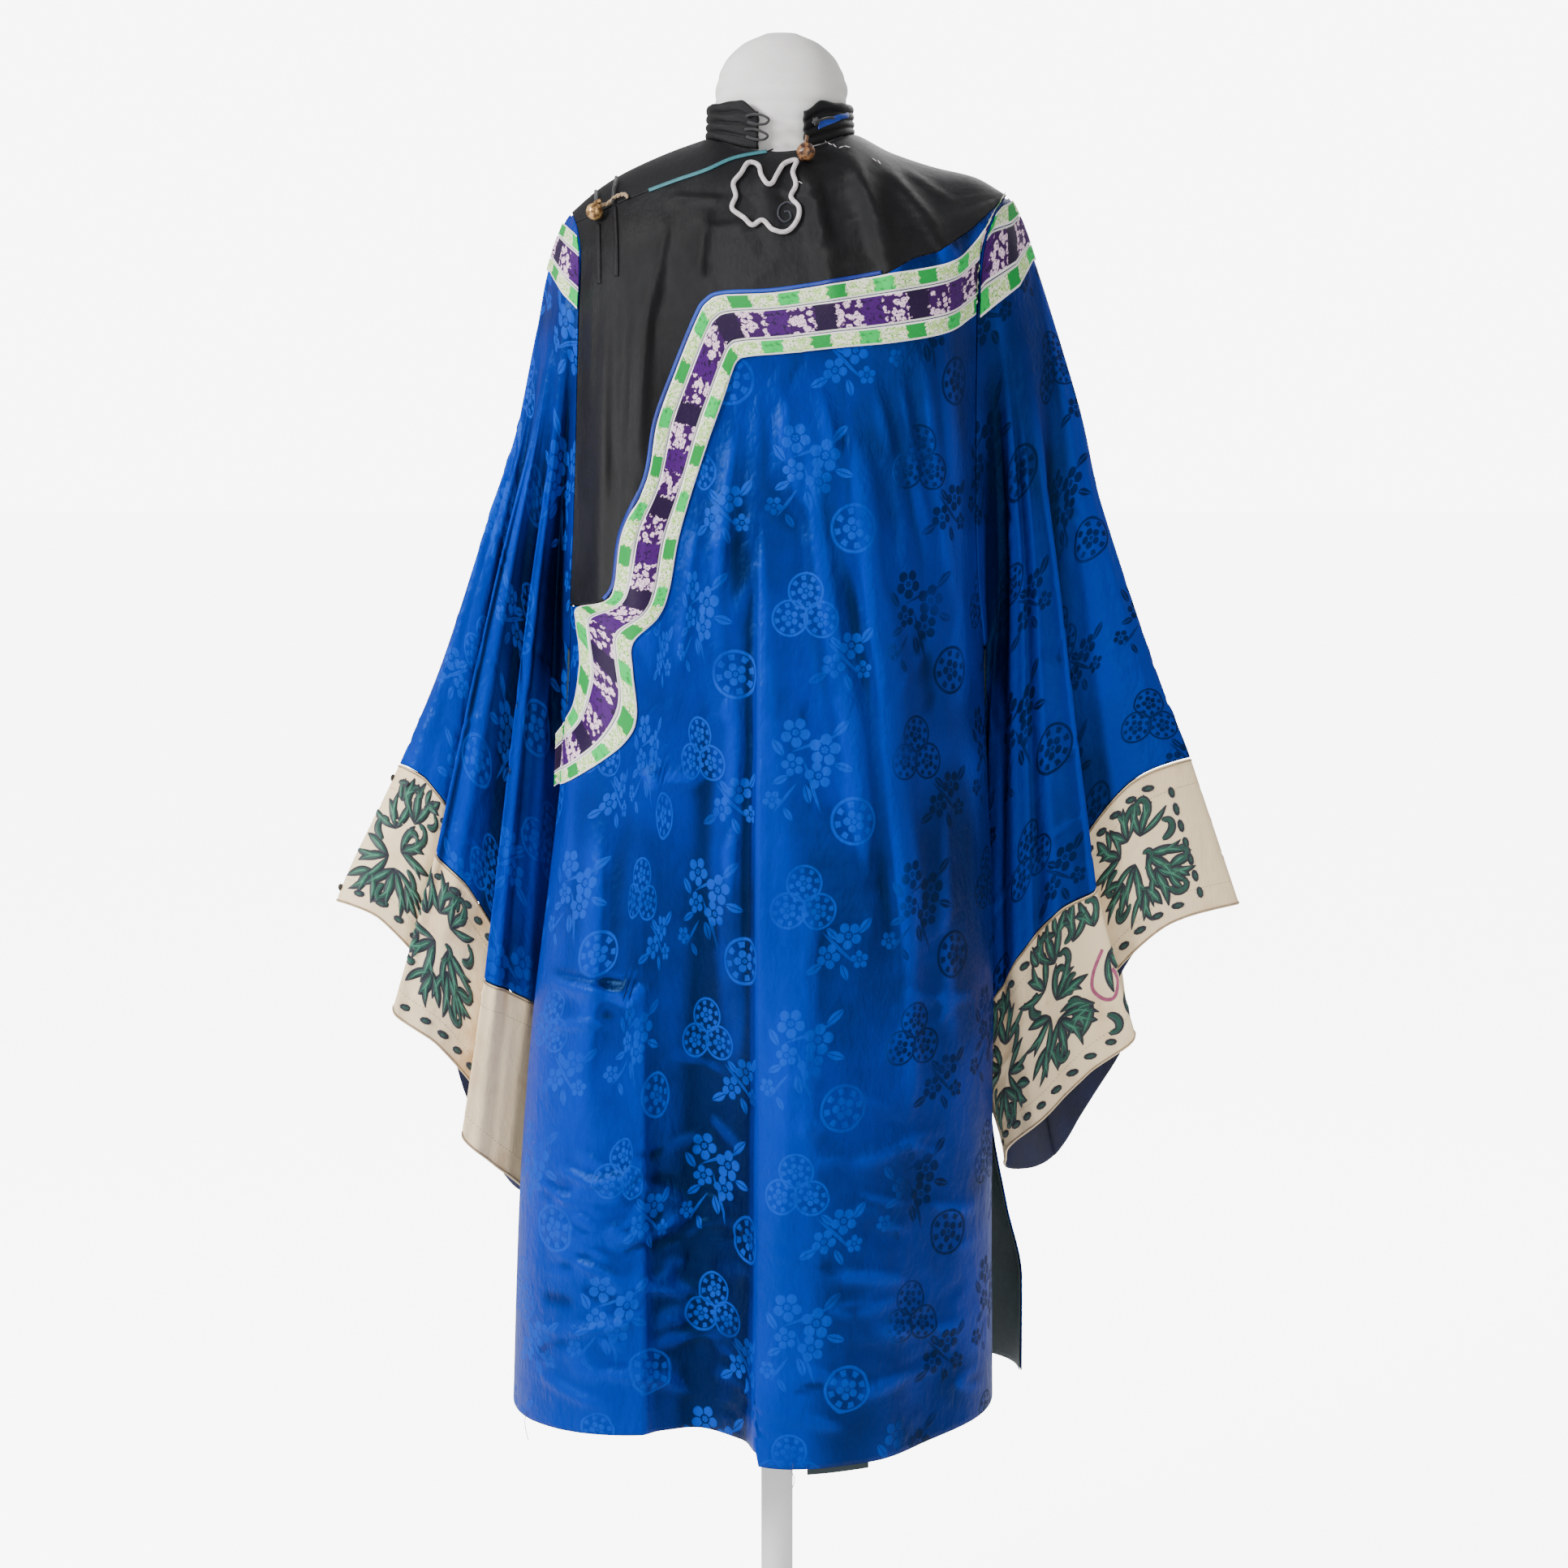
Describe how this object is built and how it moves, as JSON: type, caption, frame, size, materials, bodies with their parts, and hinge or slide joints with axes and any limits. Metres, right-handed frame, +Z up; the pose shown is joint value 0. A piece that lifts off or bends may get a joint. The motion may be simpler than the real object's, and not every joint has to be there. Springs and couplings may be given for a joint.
{
  "type": "embroidered silk robe on a dress form stand",
  "caption": "Wide-sleeved blue silk robe with black yoke, ribbon borders and embroidered cuffs, on a limbless dress form.",
  "frame": {"origin": "centre of the underside of the stand's round base, on the floor", "axes": "+Z up along the pole, +X towards the viewer's right when the robe is seen from the front, -Y towards the viewer"},
  "size_m": [0.7879, 0.3204, 1.483],
  "materials": {
    "blue_silk": "satin",
    "black_silk": "satin",
    "green_ribbon": "satin",
    "purple_ribbon": "satin",
    "cream_satin": "satin",
    "teal_binding": "satin",
    "teal_lining": "satin",
    "brass_button": "satin",
    "brown_button": "satin",
    "form_cloth": "matte",
    "stand_paint": "satin"
  },
  "bodies": {
    "root": {"front_silk": "blue_silk", "back_silk": "blue_silk", "sleeve_left": "blue_silk", "sleeve_right": "blue_silk", "yoke_piping": "blue_silk", "front_yoke": "black_silk", "shoulder_yoke": "black_silk", "back_yoke": "black_silk", "collar": "black_silk", "tail_outer": "black_silk", "tail_inner": "black_silk", "collar_knot": "black_silk", "front_ribbon_upper": "green_ribbon", "front_ribbon_lower": "green_ribbon", "front_ribbon_centre": "purple_ribbon", "back_ribbon_upper": "green_ribbon", "back_ribbon_lower": "green_ribbon", "back_ribbon_centre": "purple_ribbon", "left_sleeve_ribbon_upper": "green_ribbon", "left_sleeve_ribbon_lower": "green_ribbon", "left_sleeve_ribbon_centre": "purple_ribbon", "right_sleeve_ribbon_upper": "green_ribbon", "right_sleeve_ribbon_lower": "green_ribbon", "right_sleeve_ribbon_centre": "purple_ribbon", "cuff_left": "cream_satin", "cuff_right": "cream_satin", "opening_piping": "teal_binding", "back_lining": "teal_lining", "hem_lining": "teal_lining", "cuff_lining_left": "teal_lining", "cuff_lining_right": "teal_lining", "shoulder_button": "brass_button", "shoulder_loop": "brass_button", "neck_button": "brown_button", "form_torso": "form_cloth", "form_pole": "stand_paint", "form_base": "stand_paint"}
  },
  "joints": []
}
